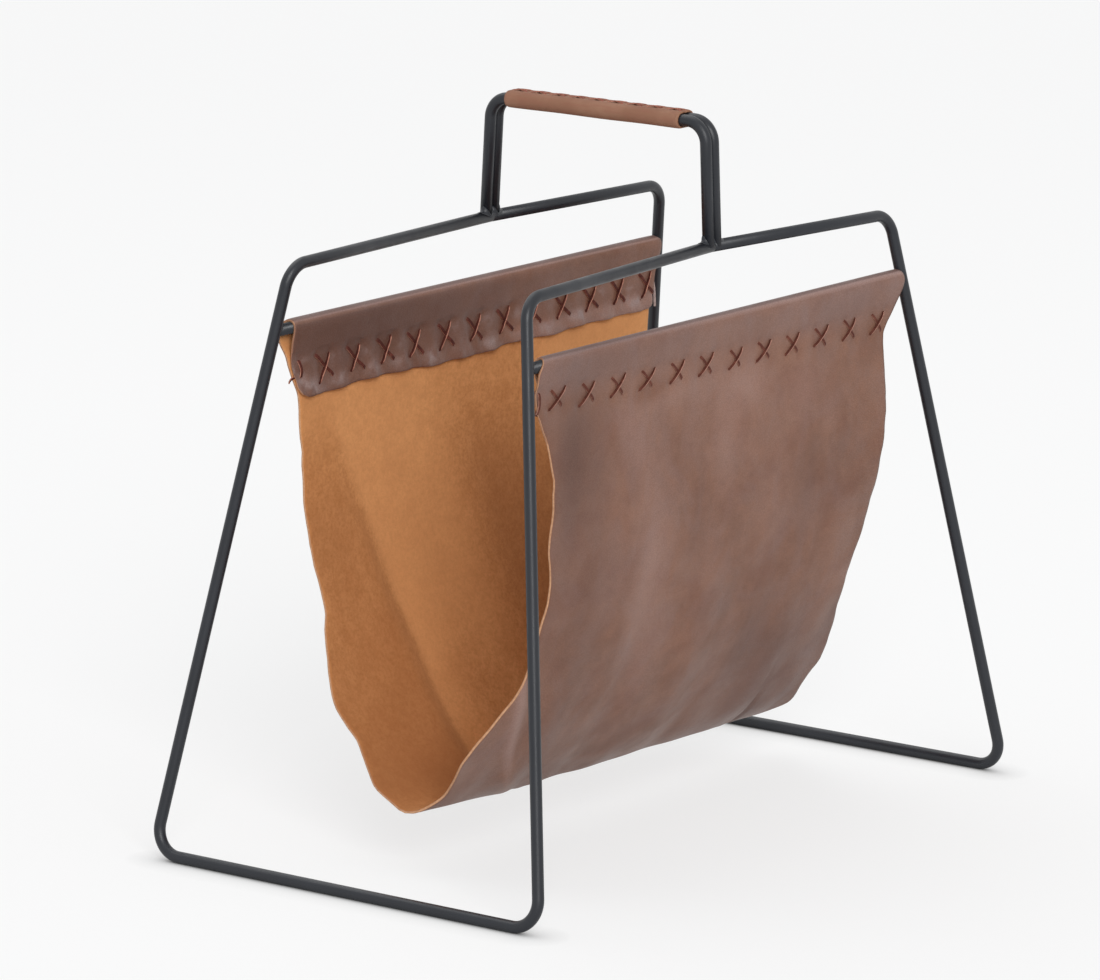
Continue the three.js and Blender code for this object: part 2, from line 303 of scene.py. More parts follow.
def smooth_leather():
    """Waxed brown leather: cloudy tone and a fine pebble grain, with painted light and shade.

    Its mesh says where it is lighter or darker, partly its own tone and partly painted light and shade
    (tone), where it has a painted bluish-grey sheen (painted_sheen), and where the back flap has painted
    highlights (flap_highlight).
    """
    look = Look("smooth_leather", (119, 83, 66))
    tone = look.attribute("tone")
    look.paint(look.clouds(11, 5, 0.36, 0.64, distortion=0.4), (131, 94, 77))
    look.paint(look.clouds(70, 5, 0.38, 0.68, 0.65), (140, 99, 79), 0.4)
    look.paint(look.clouds(26, 5, 0.44, 0.7, 0.6, 0.6), (114, 74, 58), 0.5)
    # Random pull-up drifts in the leather, plus the mesh's painted bluish-grey sheen.
    drifts = look.clouds(1, 5, 0.4, 0.68, 0.6, 0.9, look.stretched((34, 34, 20)))
    drifts_and_sheen = look.math("ADD", look.math("MULTIPLY", drifts, 0.22), look.attribute("painted_sheen"))
    look.paint(look.math("MINIMUM", look.positive(drifts_and_sheen), 0.9), (131, 108, 104))
    # Painted light and shade from the mesh's tone, together with the leather's own lighter and darker
    # zones.
    look.paint(look.positive(tone), (176, 146, 138), 0.75)
    look.paint(look.negative(tone), (86, 60, 52), 0.6)
    # Painted highlights on the wrinkles of the back flap.
    wrinkles = look.clouds(105, 2, 0.38, 0.68, 0.45, 0.5)
    shine = look.math("MULTIPLY", wrinkles, look.attribute("flap_highlight"))
    look.paint(look.math("MINIMUM", shine, 0.8), (152, 134, 131))
    grain = look.cells(620)
    tint = look.blend(look.spread(grain, 0, 0.22), srgb(238, 234, 231), srgb(255, 255, 255))
    look.colour = look.blend(1, look.colour, tint, "MULTIPLY")
    rough = look.spread(look.noise(30, 3), 0.3, 0.7, 0.42, 0.56)
    pores = look.bump(look.noise(1400, 3, 0.6), 0.00008, 0.5)
    pebbled = look.bump(look.spread(grain, 0, 0.25), 0.0001, 0.55, pores)
    rolling = look.bump(look.noise(95, 3, 0.5), 0.0006, 0.35, pebbled)
    return look.finish(Roughness=rough, Normal=rolling, Specular_IOR_Level=0.3)


def suede():
    """The flesh side: tan, matt and napped, with painted light and shade in soft zones."""
    look = Look("suede", (192, 131, 82))
    tone = look.attribute("tone")
    look.paint(look.clouds(8, 4, 0.35, 0.65), (206, 145, 93))
    look.paint(look.clouds(55, 5, 0.35, 0.68, 0.65), (168, 108, 62), 0.4)
    look.paint(look.clouds(170, 4, 0.38, 0.66, 0.7), (156, 98, 54), 0.34)
    look.paint(look.clouds(420, 4, 0.4, 0.66, 0.7), (136, 84, 46), 0.34)
    # Painted light and shade from the mesh's tone.
    look.paint(look.positive(tone), (222, 160, 106), 0.5)
    look.paint(look.negative(tone), (138, 82, 46), 0.6)
    nap = look.bump(look.noise(900, 5, 0.75), 0.0004, 0.8)
    brushed = look.bump(look.noise(120, 4, 0.6), 0.0008, 0.4, nap)
    return look.finish(
        Roughness=0.95, Normal=brushed, Specular_IOR_Level=0.12,
        Sheen_Weight=0.3, Sheen_Roughness=0.6, Sheen_Tint=srgb(226, 178, 124),
    )


def cut_edge():
    """The leather's raw cut edge: pale, fibrous and a little uneven, darker in the hems."""
    look = Look("cut_edge", (200, 155, 120))
    look.paint(look.clouds(500, 5, 0.35, 0.68, 0.7), (174, 128, 95))
    look.paint(look.negative(look.attribute("tone")), (146, 104, 84))
    fibres = look.bump(look.noise(1100, 4, 0.7), 0.0003, 0.5)
    return look.finish(Roughness=0.9, Normal=fibres, Specular_IOR_Level=0.15)


def lace_leather(name, deep, worn):
    """A thong's smooth face: dark reddish brown, rubbed lighter here and there."""
    look = Look(name, deep)
    look.paint(look.clouds(260, 4, 0.4, 0.7, 0.6), worn)
    pores = look.bump(look.noise(1800, 3, 0.6), 0.00008, 0.6)
    return look.finish(Roughness=0.7, Normal=pores, Specular_IOR_Level=0.15)


def fibrous(name, pale, dull, scale=420.0, roughness=0.75, specular=0.25):
    """Leather where it is cut or split: paler, with fine fibres."""
    look = Look(name, pale)
    look.paint(look.clouds(scale, 4, 0.35, 0.7, 0.6), dull)
    return look.finish(Roughness=roughness, Specular_IOR_Level=specular)


def grip_leather():
    """The handle's sleeve: lighter, drier brown leather with stretch marks along it."""
    look = Look("grip_leather", (134, 95, 75))
    look.paint(look.clouds(30, 4, 0.35, 0.65), (146, 108, 87))
    along = look.stretched((420, 60, 420))
    look.paint(look.clouds(1, 3, 0.4, 0.7, 0.5, vector=along), (136, 88, 72), 0.35)
    pores = look.bump(look.noise(1500, 3, 0.6), 0.00008, 0.5)
    pebbled = look.bump(look.spread(look.cells(700), 0, 0.25), 0.00008, 0.5, pores)
    return look.finish(Roughness=0.68, Normal=pebbled, Specular_IOR_Level=0.22)


metal = frame_metal()
leather = smooth_leather()
flesh = suede()
raw = cut_edge()
front_thong = lace_leather("front_lace_leather", (82, 44, 35), (106, 62, 50))
# The back hem's thong is a darker copy of the same lace leather: painted shade, as that hem lies in
# shade.
shaded_back_thong = lace_leather("back_lace_leather_shaded", (72, 35, 29), (98, 52, 43))
grip_thong = lace_leather("grip_lace_leather", (118, 58, 48), (152, 84, 70))
front_thong_side = fibrous("front_lace_edge", (174, 128, 112), (144, 102, 88))
thong_side = fibrous("lace_edge", (188, 134, 114), (150, 100, 84))
thong_flesh = fibrous("lace_flesh", (172, 152, 146), (148, 130, 126))
grip_skin = grip_leather()
grip_raw = fibrous("grip_edge", (160, 116, 90), (128, 84, 62), 500.0, 0.85, 0.2)

# The frame's rods.
ROD_SIDES = 32
BEND_STEPS = 20
rod_angles = np.arange(ROD_SIDES) * 2 * math.pi / ROD_SIDES
rod_section = np.column_stack([np.cos(rod_angles), np.sin(rod_angles)]) * ROD_RADIUS


def bent_stations(corners, bend_radius):
    """Points along a rod through its corners, with an arc at each inner corner."""
    corners = [np.array(corner, float) for corner in corners]
    points = [corners[0]]
    for before, corner, after in zip(corners, corners[1:], corners[2:]):
        incoming = unit(corner - before)
        outgoing = unit(after - corner)
        turn = math.acos(np.dot(incoming, outgoing))
        start = corner - incoming * bend_radius * math.tan(turn / 2)
        inward = np.cross(unit(np.cross(incoming, outgoing)), incoming)
        for angle in np.linspace(0, turn, BEND_STEPS + 1):
            step = inward * (1 - math.cos(angle)) + incoming * math.sin(angle)
            points.append(start + step * bend_radius)
    return np.array(points + corners[-1:])


def make_rod(node, points, end_tangents=None):
    """A coated rod along a path, rolled as little as the path allows, in place of the node."""
    steps = unit(np.diff(points, axis=0))
    tangents = unit(np.vstack([steps[:1], steps[:-1] + steps[1:], steps[-1:]]))
    if end_tangents is not None:
        tangents[0], tangents[-1] = end_tangents
    normal = np.eye(3)[np.argmin(np.abs(tangents[0]))]
    normals = []
    for tangent in tangents:
        normal = unit(normal - tangent * np.dot(normal, tangent))
        normals.append(normal)
    verts, faces = tube(points, tangents, np.array(normals), rod_section)
    make_piece(node + "_coated", (verts, faces, [0] * len(faces)), [metal], node)


def both_faces(corners):
    """Corners on the front face and, in turned order, the same ones on the back face."""
    return [(x, -y, z) for x, y, z in corners] + [(x, y, z) for x, y, z in reversed(corners)]


for name, side in (("left", -1), ("right", 1)):
    corners = both_faces([
        (HANDLE_OFF_CENTRE, PEAK_HALF_WIDTH, PEAK_HEIGHT),
        (side * SHOULDER_HALF_LENGTH, SHOULDER_HALF_WIDTH, SHOULDER_HEIGHT),
        (side * FOOT_HALF_LENGTH, FOOT_HALF_WIDTH, ROD_RADIUS),
    ])
    ends = (side, 0, 0), (-side, 0, 0)
    make_rod(name + "_side_rod", bent_stations(corners, FRAME_BEND_RADIUS), ends)
for name, side in (("left", -1), ("right", 1)):
    x = HANDLE_OFF_CENTRE + side * HANDLE_ROD_OFFSET
    corners = both_faces([
        (x, HANDLE_FOOT_HALF_WIDTH, PEAK_HEIGHT),
        (x, HANDLE_TOP_HALF_WIDTH, HANDLE_HEIGHT),
    ])
    make_rod(name + "_handle_rod", bent_stations(corners, HANDLE_BEND_RADIUS))
for name, face in (("front", -1), ("back", 1)):
    reach = SLING_HALF_LENGTH - ROD_RADIUS / 2
    y = face * SLING_HALF_WIDTH
    make_rod(name + "_sling_rod", np.array([(x, y, SLING_HEIGHT) for x in (-reach, 0, reach)]))


# The weld beads: a hollow fillet round each branch where it meets a through rod.
WELD_SIDES = 40
WELD_STEPS = 5
HANDLE_WELD = 0.004
SLING_ROD_WELD = 0.0014
WELD_ROOT_DEPTH = 0.0004
WELD_SUNK_SHARE = 0.3
MEETING_PASSES = 40
MEETING_STEP = 0.6
weld_random = np.random.default_rng(4)


def weld_fillet(base, branch, main, size):
    """A fillet where a branch rod stands on a main rod. base is where their axes cross."""
    branch = unit(np.array(branch))
    main = unit(np.array(main))
    across = unit(np.cross(branch, main))
    angles = np.arange(WELD_SIDES)[:, None] * 2 * math.pi / WELD_SIDES
    radial = np.cos(angles) * np.cross(across, branch) + np.sin(angles) * across

    def from_axis(spots):
        return spots - (spots @ main)[:, None] * main

    meeting = radial * ROD_RADIUS
    for _ in range(MEETING_PASSES):
        off_axis = np.linalg.norm(from_axis(meeting), axis=1, keepdims=True)
        meeting += branch * (ROD_RADIUS - off_axis) * MEETING_STEP
    phase = weld_random.uniform(0, 2 * math.pi)
    bead = size * (0.35 + 0.65 * np.abs(np.cos(angles))) * (1 + 0.08 * np.sin(3 * angles + phase))
    corner = meeting - branch * WELD_ROOT_DEPTH
    outward = meeting + radial * bead
    spoke = from_axis(outward)
    on_main = outward - spoke + unit(spoke) * ROD_RADIUS
    share = np.linspace(0, 1, WELD_STEPS + 1)[:, None, None]
    curve = (1 - share) ** 2 * (meeting + branch * bead) + 2 * share * (1 - share) * corner
    curve += share ** 2 * on_main
    sunk = corner - (branch + radial) * ROD_RADIUS * WELD_SUNK_SHARE
    verts = base + np.vstack([curve, sunk[None]]).transpose(1, 0, 2).reshape(-1, 3)
    faces = grid_faces(WELD_SIDES, WELD_STEPS + 2, closed_rows=True)
    return verts, faces, [0] * len(faces)


corners = [(face, side) for face in (-1, 1) for side in (-1, 1)]
make_piece("handle_welds", join_shapes([
    weld_fillet(
        (HANDLE_OFF_CENTRE + side * HANDLE_ROD_OFFSET, face * PEAK_HALF_WIDTH, PEAK_HEIGHT),
        (0, face * (HANDLE_TOP_HALF_WIDTH - HANDLE_FOOT_HALF_WIDTH), HANDLE_HEIGHT - PEAK_HEIGHT),
        (1, 0, 0), HANDLE_WELD,
    ) for face, side in corners
]), [metal])
make_piece("sling_rod_welds", join_shapes([
    weld_fillet(
        (side * SLING_HALF_LENGTH, face * SLING_HALF_WIDTH, SLING_HEIGHT),
        (-side, 0, 0), (side * LEG_LEAN_X, face * LEG_LEAN_Y, LEG_RISE), SLING_ROD_WELD,
    ) for face, side in corners
]), [metal])


# The sling's section: one face's centreline from the flap's edge over the rod to the bottom.
WRAP_RADIUS = ROD_RADIUS + SEAT_GAP + LEATHER_THICKNESS / 2
LAYER_OFFSET = (LEATHER_THICKNESS + SEAT_GAP) / 2
STRAIGHT_STEPS = 40
WRAP_STEPS = 60
DRAPE_STEPS = 200
STATION_SPACING = 0.0014
HEM_ROW_SPACING = 0.0015
PANEL_ROW_SPACING = 0.0048
COLUMN_SPACING = 0.0024


def half_section():
    """Dense points (y, z) and the share of the way down the hanging panel, from the flap's edge."""
    dip = math.asin((WRAP_RADIUS - LAYER_OFFSET) / (SLING_HEIGHT - PRESS_HEIGHT))
    inner_y = SLING_HALF_WIDTH - LAYER_OFFSET
    outer_y = SLING_HALF_WIDTH + LAYER_OFFSET
    flap_heights = np.linspace(FLAP_EDGE_HEIGHT, PRESS_HEIGHT, STRAIGHT_STEPS)
    points = [(inner_y, z, 0.0) for z in flap_heights]
    for angle in np.linspace(math.pi + dip, -dip, WRAP_STEPS):
        y = SLING_HALF_WIDTH + WRAP_RADIUS * math.cos(angle)
        points.append((y, SLING_HEIGHT + WRAP_RADIUS * math.sin(angle), 0.0))
    for share in np.linspace(0, 1, STRAIGHT_STEPS)[:-1]:
        y = outer_y + (PANEL_HALF_WIDTH - outer_y) * share
        points.append((y, PRESS_HEIGHT + (FLAP_EDGE_HEIGHT - PRESS_HEIGHT) * share, 0.0))
    controls = np.array([
        (PANEL_HALF_WIDTH, FLAP_EDGE_HEIGHT),
        (PANEL_BULGE_HALF_WIDTH, PANEL_BULGE_HEIGHT),
        (BOTTOM_FLAT_HALF_WIDTH, BOTTOM_HEIGHT),
        (0.0, BOTTOM_HEIGHT),
    ])
    for share in np.linspace(0, 1, DRAPE_STEPS):
        rest = 1 - share
        weights = np.array([rest ** 3, 3 * rest ** 2 * share, 3 * rest * share ** 2, share ** 3])
        points.append((*(weights @ controls), share))
    return np.array(points)


back_half = half_section()
whole = np.vstack([back_half, back_half[-2::-1] * np.array([-1, 1, 1])])
run = np.concatenate([[0], np.cumsum(np.hypot(*np.diff(whole[:, :2], axis=0).T))])
FULL_RUN = run[-1]
station_count = int(round(FULL_RUN / STATION_SPACING)) + 1
station_run = np.linspace(0, FULL_RUN, station_count)


def softened(values, passes):
    """The values along a path with their corners eased, ends held."""
    values = values.copy()
    for _ in range(passes):
        values[1:-1] = 0.25 * values[:-2] + 0.5 * values[1:-1] + 0.25 * values[2:]
    return values


station_y, station_z, station_share = (np.interp(station_run, run, column) for column in whole.T)
station_y = softened(station_y, 3)
station_z = softened(station_z, 3)
slopes = [-np.gradient(station_z, station_run), np.gradient(station_y, station_run)]
normal_y, normal_z = unit(np.column_stack(slopes)).T
MIDDLE_RUN = FULL_RUN / 2
FLAP_RUN = PRESS_HEIGHT - FLAP_EDGE_HEIGHT

# The wavy raw ends, as pairs of thousandths of the height up to the sling rods and of the hem's half
# length. Each panel has its own, and so has the flap inside the hem.
BACK_LEFT_SHARES = [
    (1020, 965), (1000, 985), (985, 1005), (955, 995), (920, 968), (857, 924), (790, 906),
    (690, 892), (635, 890), (600, 896), (500, 893), (427, 868), (370, 876), (290, 936), (234, 966),
    (190, 974), (140, 946), (120, 939), (90, 964), (44, 1002), (0, 982),
]
FRONT_LEFT_SHARES = [
    (1020, 962), (1000, 1010), (985, 1020), (955, 1012), (920, 1008), (890, 985), (830, 942),
    (763, 913), (696, 909), (634, 918), (564, 890), (496, 872), (440, 885), (400, 892), (365, 886),
    (325, 882), (285, 912), (240, 952), (195, 988), (150, 1013), (128, 1013), (82, 966), (40, 937),
    (0, 972),
]
LOW_RIGHT_SHARES = [
    (550, 944), (475, 929), (370, 900), (325, 905), (275, 927), (240, 951), (190, 974), (130, 998),
    (94, 986), (60, 997), (25, 1050), (6, 1075), (0, 1110),
]
FRONT_RIGHT_SHARES = [
    (1020, 1017), (963, 1017), (930, 985), (900, 938), (873, 925), (800, 943), (700, 951),
] + LOW_RIGHT_SHARES
BACK_RIGHT_SHARES = [
    (1020, 1030), (900, 1010), (860, 998), (800, 997), (740, 985),
] + LOW_RIGHT_SHARES
FLAP_LEFT_SHARES = [(1020, 968), (973, 980), (920, 964), (890, 948), (857, 930)]
BACK_FLAP_RIGHT_SHARES = [(1020, 1030), (890, 1020), (857, 995)]
FRONT_FLAP_RIGHT_SHARES = [(1020, 1017), (973, 1000), (930, 955), (857, 900)]
EDGE_SMOOTHING = 12
LEFT_FLAP_CORNER = 0.009
RIGHT_FLAP_CORNER = 0.003


def edge_reach(shares):
    """How far out the raw end stands at each station."""
    levels, reaches = np.array(shares[::-1]).T / 1000
    share = (station_z - BOTTOM_HEIGHT) / (SLING_HEIGHT - BOTTOM_HEIGHT)
    return HEM_HALF_LENGTH * np.interp(share, levels, reaches)


def unevenness(where, seed, longest, shortest, depth):
    """A seeded sum of waves, deepest in its longest ones."""
    generator = np.random.default_rng(seed)
    total = np.zeros_like(where)
    for length in np.geomspace(longest, shortest, 6):
        phase = generator.uniform(0, 2 * math.pi)
        total += depth * (length / longest) ** 0.9 * wave(where / length, phase)
    return total


on_back = station_run <= MIDDLE_RUN
top_station = int(np.argmax(np.where(on_back, station_z, 0)))
in_back_flap = np.arange(station_count) < top_station


def raw_end(tables, seed, corner_radius):
    """How far out one end stands at each station, with small waves and its flaps' round corners."""
    reaches = [edge_reach(shares) for shares in tables]
    reach = np.select([in_back_flap, in_back_flap[::-1], on_back], reaches[:3], reaches[3])
    from_flap_edge = np.minimum(station_run, FULL_RUN - station_run)
    corner_share = np.clip(1 - from_flap_edge / corner_radius, 0, 1)
    inset = corner_radius * (1 - np.sqrt(1 - corner_share ** 2))
    uneven = unevenness(station_run, seed, 0.045, 0.014, 0.00035)
    return softened(reach, EDGE_SMOOTHING) + uneven - inset


left_reach = raw_end(
    (FLAP_LEFT_SHARES, FLAP_LEFT_SHARES, BACK_LEFT_SHARES, FRONT_LEFT_SHARES), 11, LEFT_FLAP_CORNER,
)
right_reach = raw_end(
    (BACK_FLAP_RIGHT_SHARES, FRONT_FLAP_RIGHT_SHARES, BACK_RIGHT_SHARES, FRONT_RIGHT_SHARES),
    12, RIGHT_FLAP_CORNER,
)

# Lines down the panels, as pairs of thousandths of the way down and x in millimetres: the back panel's
# long crease and the crest beside it, and the front panel's low left fold and its corner crease.
CREASE_LINE = [(0, -160), (90, -138), (235, -111), (430, -95), (720, -92), (1000, -85)]
CREST_LINE = [(0, -50), (70, -38), (210, -8), (350, 5), (600, 12), (1000, 15)]
FOLD_LINE = [(0, -215), (415, -186), (579, -168), (823, -125), (1000, -98)]
CORNER_CREASE_LINE = [(400, 130), (600, 139), (700, 149), (800, 153), (920, 151), (1000, 146)]
FOLD_START_SHARE = 0.1
FRONT_RIPPLE = 0.0016
FRONT_FINE_RIPPLE = 0.0007
FOLD_HEIGHT = 0.0036
FOLD_REACH = 0.013
LOW_RIDGE = 0.0022
CORNER_SWELL = 0.001
CORNER_CREASE = 0.0021
CORNER_CREASE_REACH = 0.0036
CREASE_STEP = 0.006
CREASE_FADE = 0.13
CREST_DEPTH = 0.0028
CREST_REACH = 0.03
BACK_RIPPLE = 0.001


def line_x(line, share):
    return np.interp(share, *np.array(line).T / 1000)


# The functions below take places on the sheet: x, the share of the way down the hanging panel, the
# height, and side, which is 1 on the back panel and -1 on the front one, or whether it is on the front.
def fold_offset(x, share, side):
    """Main folds, in metres outwards."""
    below = np.clip((share - FOLD_START_SHARE) / (1 - FOLD_START_SHARE), 0, 1)
    fade = np.where(share > FOLD_START_SHARE, np.sin(np.pi * below), 0)
    front = FRONT_RIPPLE * wave(x / 0.124 + 0.35 * share)
    front += FRONT_FINE_RIPPLE * wave(x / 0.051 - 0.6 * share, 1.3)
    front += FOLD_HEIGHT * hump(x, line_x(FOLD_LINE, share), FOLD_REACH) * ramp(share, 0.28, 0.5)
    front += LOW_RIDGE * hump(x, 0.225 - 0.06 * share, 0.016) * ramp(share, 0.5, 0.8)
    corner_x = line_x(CORNER_CREASE_LINE, share)
    corner = CORNER_SWELL * hump(x, corner_x, 2.4 * CORNER_CREASE_REACH)
    corner -= CORNER_CREASE * hump(x, corner_x, CORNER_CREASE_REACH)
    corner *= ramp(share, 0.5, 0.74) * (1 - ramp(share, 0.9, 1))
    past_crease = x - line_x(CREASE_LINE, share)
    back = CREASE_STEP * ramp(past_crease, -0.02, 0.01)
    back *= np.exp(-np.maximum(past_crease, 0) / CREASE_FADE)
    back *= ramp(share, 0.02, 0.35) * (1 - 0.6 * ramp(share, 0.75, 1))
    crest = hump(x, line_x(CREST_LINE, share), CREST_REACH)
    back -= CREST_DEPTH * crest * ramp(share, 0, 0.2) * (1 - ramp(share, 0.35, 0.6))
    back += BACK_RIPPLE * wave(x / 0.15 + 0.5 * share, 0.6) * fade
    return np.where(side < 0, fade * front + corner, back)


# Where the front panel's smooth face is lighter (more than 0) or darker, partly its own mottled tone and
# partly painted highlights and painted shade: x, height, reach in x and reach in height, in millimetres,
# and strength in thousandths.
LIGHT_AND_TONE_SPOTS = np.array([
    (-92, 292, 16, 30, 150), (-70, 200, 19, 60, 320), (-45, 130, 22, 30, 250),
    (4, 275, 16, 35, 250), (30, 310, 26, 18, 300), (-50, 318, 40, 12, 250), (58, 222, 14, 20, 120),
    (97, 292, 18, 22, 240), (130, 270, 14, 18, 200), (185, 150, 14, 11, 320),
    (183, 178, 14, 14, -220), (-135, 352, 55, 14, -420), (-168, 298, 20, 45, -1050),
    (-142, 285, 14, 50, -450), (-112, 302, 18, 26, 220), (-140, 190, 24, 70, -550),
    (-92, 250, 12, 40, 100), (-83, 322, 20, 7, -300), (-120, 100, 30, 50, -350),
    (-20, 215, 16, 30, -350), (-176, 238, 18, 50, -500), (105, 225, 14, 30, -500),
    (140, 235, 30, 30, -250), (85, 120, 22, 34, -620), (30, 140, 14, 45, -220),
    (196, 112, 14, 26, -450), (120, 112, 22, 22, -350), (150, 85, 55, 45, -650),
    (158, 48, 10, 12, -600),
]) / 1000
# Each rolled hem has a painted highlight line at this angle in degrees.
LINE_ANGLE = 44.0
LINE_SPREAD = 6.2
# How much darker the front panel's suede is painted, as shade, where it shows low inside the sling.
FRONT_SUEDE_SHADE = -0.3
STITCH_LEVEL = 0.316


def flap_shine(x, height):
    """Painted greyish highlights of the back flap: on its swells between the crosses and at its corner.
    """
    swell = hump(height + 0.0016 * wave(x / 0.071, 1), STITCH_LEVEL, 0.0045)
    swell *= between_crosses(x, 1, True) ** 1.5 * (0.62 + 0.38 * wave(x / 0.057, 0.4))
    swell *= 1 + 0.5 * ramp(x, 0, 0.1)
    corner = hump(x, -0.197, 0.012) * hump(height, 0.32, 0.013)
    corner += hump(x, -0.18, 0.014) * hump(height, 0.3125, 0.0045)
    beside = hump(height, 0.33, 0.0045) * between_crosses(x + 0.004, 1, True) ** 3
    return 0.9 * swell + 0.7 * corner + 0.55 * beside * (0.6 + 0.4 * wave(x / 0.043))


def outer_tone(x, height, share, front, back_flap, facing_up):
    """Lighter and darker zones of the smooth face: a painted highlight line along each rolled hem with a
    darker band along its very top, painted shade on the back flap where it faces away from the sky, most
    on its left, painted highlights on the flap's swells and low on its right, a painted highlight along
    the front panel's low fold, a darker band along the bottom, and the listed spots.
    """
    angle = np.degrees(np.arcsin(np.clip(facing_up, -1, 1)))
    # A painted highlight line along each rolled hem, and a darker band along its very top.
    front_line = 1.45 + 0.85 * ramp(x, -0.05, 0.12)
    back_line = 0.55 + 0.4 * ramp(x, -0.2, 0.12)
    tone = np.where(front, front_line, back_line) * hump(angle, LINE_ANGLE, LINE_SPREAD)
    tone -= np.where(front, 0.8, 0.85) * ramp(angle, 52, 64)
    # Painted shade on the back flap where it faces away from the sky, most on its left.
    shaded = (1 - ramp(angle, 18, 40)) * (0.5 + 0.5 * ramp(height, STITCH_LEVEL, 0.34))
    tone -= 1.2 * shaded * back_flap * (1 - 0.9 * ramp(x, -0.12, 0.13))
    # Painted highlights low on the back flap's right and on its swells.
    low_flap_highlight = 0.4 * ramp(x, 0, 0.06) * (1 - ramp(height, STITCH_LEVEL, 0.328))
    tone += (0.3 * flap_shine(x, height) + low_flap_highlight) * back_flap
    # A painted highlight along the front panel's low fold, and a darker band along the bottom.
    on_fold = hump(x, line_x(FOLD_LINE, share), 0.0065) * ramp(share, 0.3, 0.42)
    low = 1 - ramp(height, 0.05, 0.095)
    tone += (0.6 * on_fold - 0.35 * low) * front * (share > 0.02)
    # The listed spots: the front panel's own mottled tone together with painted highlights and painted
    # shade.
    for spot_x, spot_z, reach_x, reach_z, amount in LIGHT_AND_TONE_SPOTS:
        tone += amount * hump(x, spot_x, reach_x) * hump(height, spot_z, reach_z) * front
    return tone


def outer_painted_sheen(x, height, front, back_flap, facing_up):
    """Painted bluish-grey sheen: on surfaces that face up, such as the rolled edges, on the front hem
    above its stitches and low on the front panel's right, less low on its left, and over the back flap
    and its painted highlights.
    """
    left = 1 - ramp(x, 0.02, 0.12)
    above_stitches = 0.42 - 0.2 * ramp(x, -0.17, -0.05) + 0.12 * ramp(x, 0.03, 0.12)
    on_front = above_stitches * ramp(height, 0.325, 0.345)
    on_front += 0.15 * (1 - left) * (1 - ramp(height, 0.09, 0.16))
    on_front -= 0.35 * left * (1 - ramp(height, 0.05, 0.085))
    on_flap = (0.15 + 0.3 * flap_shine(x, height)) * (1 - ramp(x, 0, 0.06))
    return 0.75 * ramp(facing_up, 0.55, 0.92) + on_front * front + on_flap * back_flap


def inner_tone(x, share, front):
    """Painted light and shade on the suede face: shade left of the back panel's crease and in its
    valley, the front panel's shadow right of the crest, light at the top right, shade in a hollow and
    low down, and the front panel's suede in shade.
    """
    crease_x = line_x(CREASE_LINE, share)
    crease_shade = ramp(crease_x - x, -0.004, 0.012) * ramp(share, -0.05, 0.22)
    front_panel_shadow = ramp(x - line_x(CREST_LINE, share), -0.035, 0.035)
    front_panel_shadow *= 0.42 + 0.58 * ramp(share, 0, 0.2)
    valley = hump(x, crease_x - 0.004, 0.005) * ramp(share, 0.2, 0.4)
    top_right = ramp(x, 0.05, 0.1) * (1 - ramp(share, 0.03, 0.2))
    hollow = hump(x, -0.04, 0.032) * hump(share, 0.54, 0.13)
    low = ramp(share, 0.42, 0.82)
    back = 0.85 - 1.4 * (crease_shade + front_panel_shadow) - 0.45 * valley
    back += 0.72 * top_right - 0.75 * hollow - 0.6 * low
    mixed = 0.5 * ramp(share, 0.8, 1)
    mixed = np.where(front, 1 - mixed, mixed)
    return back * (1 - mixed) + FRONT_SUEDE_SHADE * mixed


FLUTTER_DEPTH = 0.0007
FLUTTER_REACH = 0.022


def end_flutter(x, left, right, run_along, share):
    """Waves of the raw ends, which die out within a few centimetres."""
    near_left = np.exp(-(x + left) / FLUTTER_REACH) * wave(run_along / 0.083, 0.9)
    near_right = np.exp(-(right - x) / FLUTTER_REACH) * wave(run_along / 0.095, 2.2)
    return FLUTTER_DEPTH * ramp(share, 0, 0.12) * (near_left + near_right)


# The lacing's hole columns, each with an upper and a lower hole. The upper hole stands a little to
# one side of the lower one, the row slopes, and the first columns stand higher on the front. A pair
# is the front hem's value and the back hem's.
HOLE_COLUMNS = 25
CROSS_INSET = 0.0009
HOLES = {
    "pitch": (0.01685, 0.01675),
    "row_start": (-0.2125, -0.1913),
    "end_x": (-0.2073, -0.1913),
    "top": (0.3365, 0.336),
    "bottom": (0.3226, 0.318),
    "lean": (0.0018, -0.0038),
    "slope": (-0.0081, 0.007),
    "end_stretch": (0.0018, 0.0),
    "end_top": (0.34, 0.3335),
    "end_bottom": (0.3245, 0.3208),
    "raised_columns": (2, 0),
}
SLOPE_CENTRE = 0.019
HOLE_JITTER = 0.0006
FIRST_CROSS_RISE = 0.002
hole_random = np.random.default_rng(21)
hole_jitter = {side: hole_random.normal(0, HOLE_JITTER, (HOLE_COLUMNS, 2, 2)) for side in (-1, 1)}


def hole_place(side, column, upper):
    """A hole's x and height. The holes of a cross that shows stand a little closer together."""
    holes = {name: pair[side > 0] for name, pair in HOLES.items()}
    jitter = hole_jitter[side][column, int(upper)]
    lean = holes["lean"] / (2 if upper else -2)
    if column == 0:
        return holes["end_x"] + lean + jitter[0], holes["end_top" if upper else "end_bottom"]
    x = holes["row_start"] + column * holes["pitch"]
    height = holes["top" if upper else "bottom"] + holes["slope"] * (x - SLOPE_CENTRE)
    if column <= holes["raised_columns"]:
        height += FIRST_CROSS_RISE
    x += holes["end_stretch"] * ramp(x, 0.08, 0.19)
    inset = CROSS_INSET if column % 2 == 1 else -CROSS_INSET
    return x + lean + inset + jitter[0], height + jitter[1]


def stitched_on_flap(side, column):
    """Whether the cross between a column and the next one lies on the flap or on the outer face."""
    return column % 2 == (0 if side < 0 else 1)


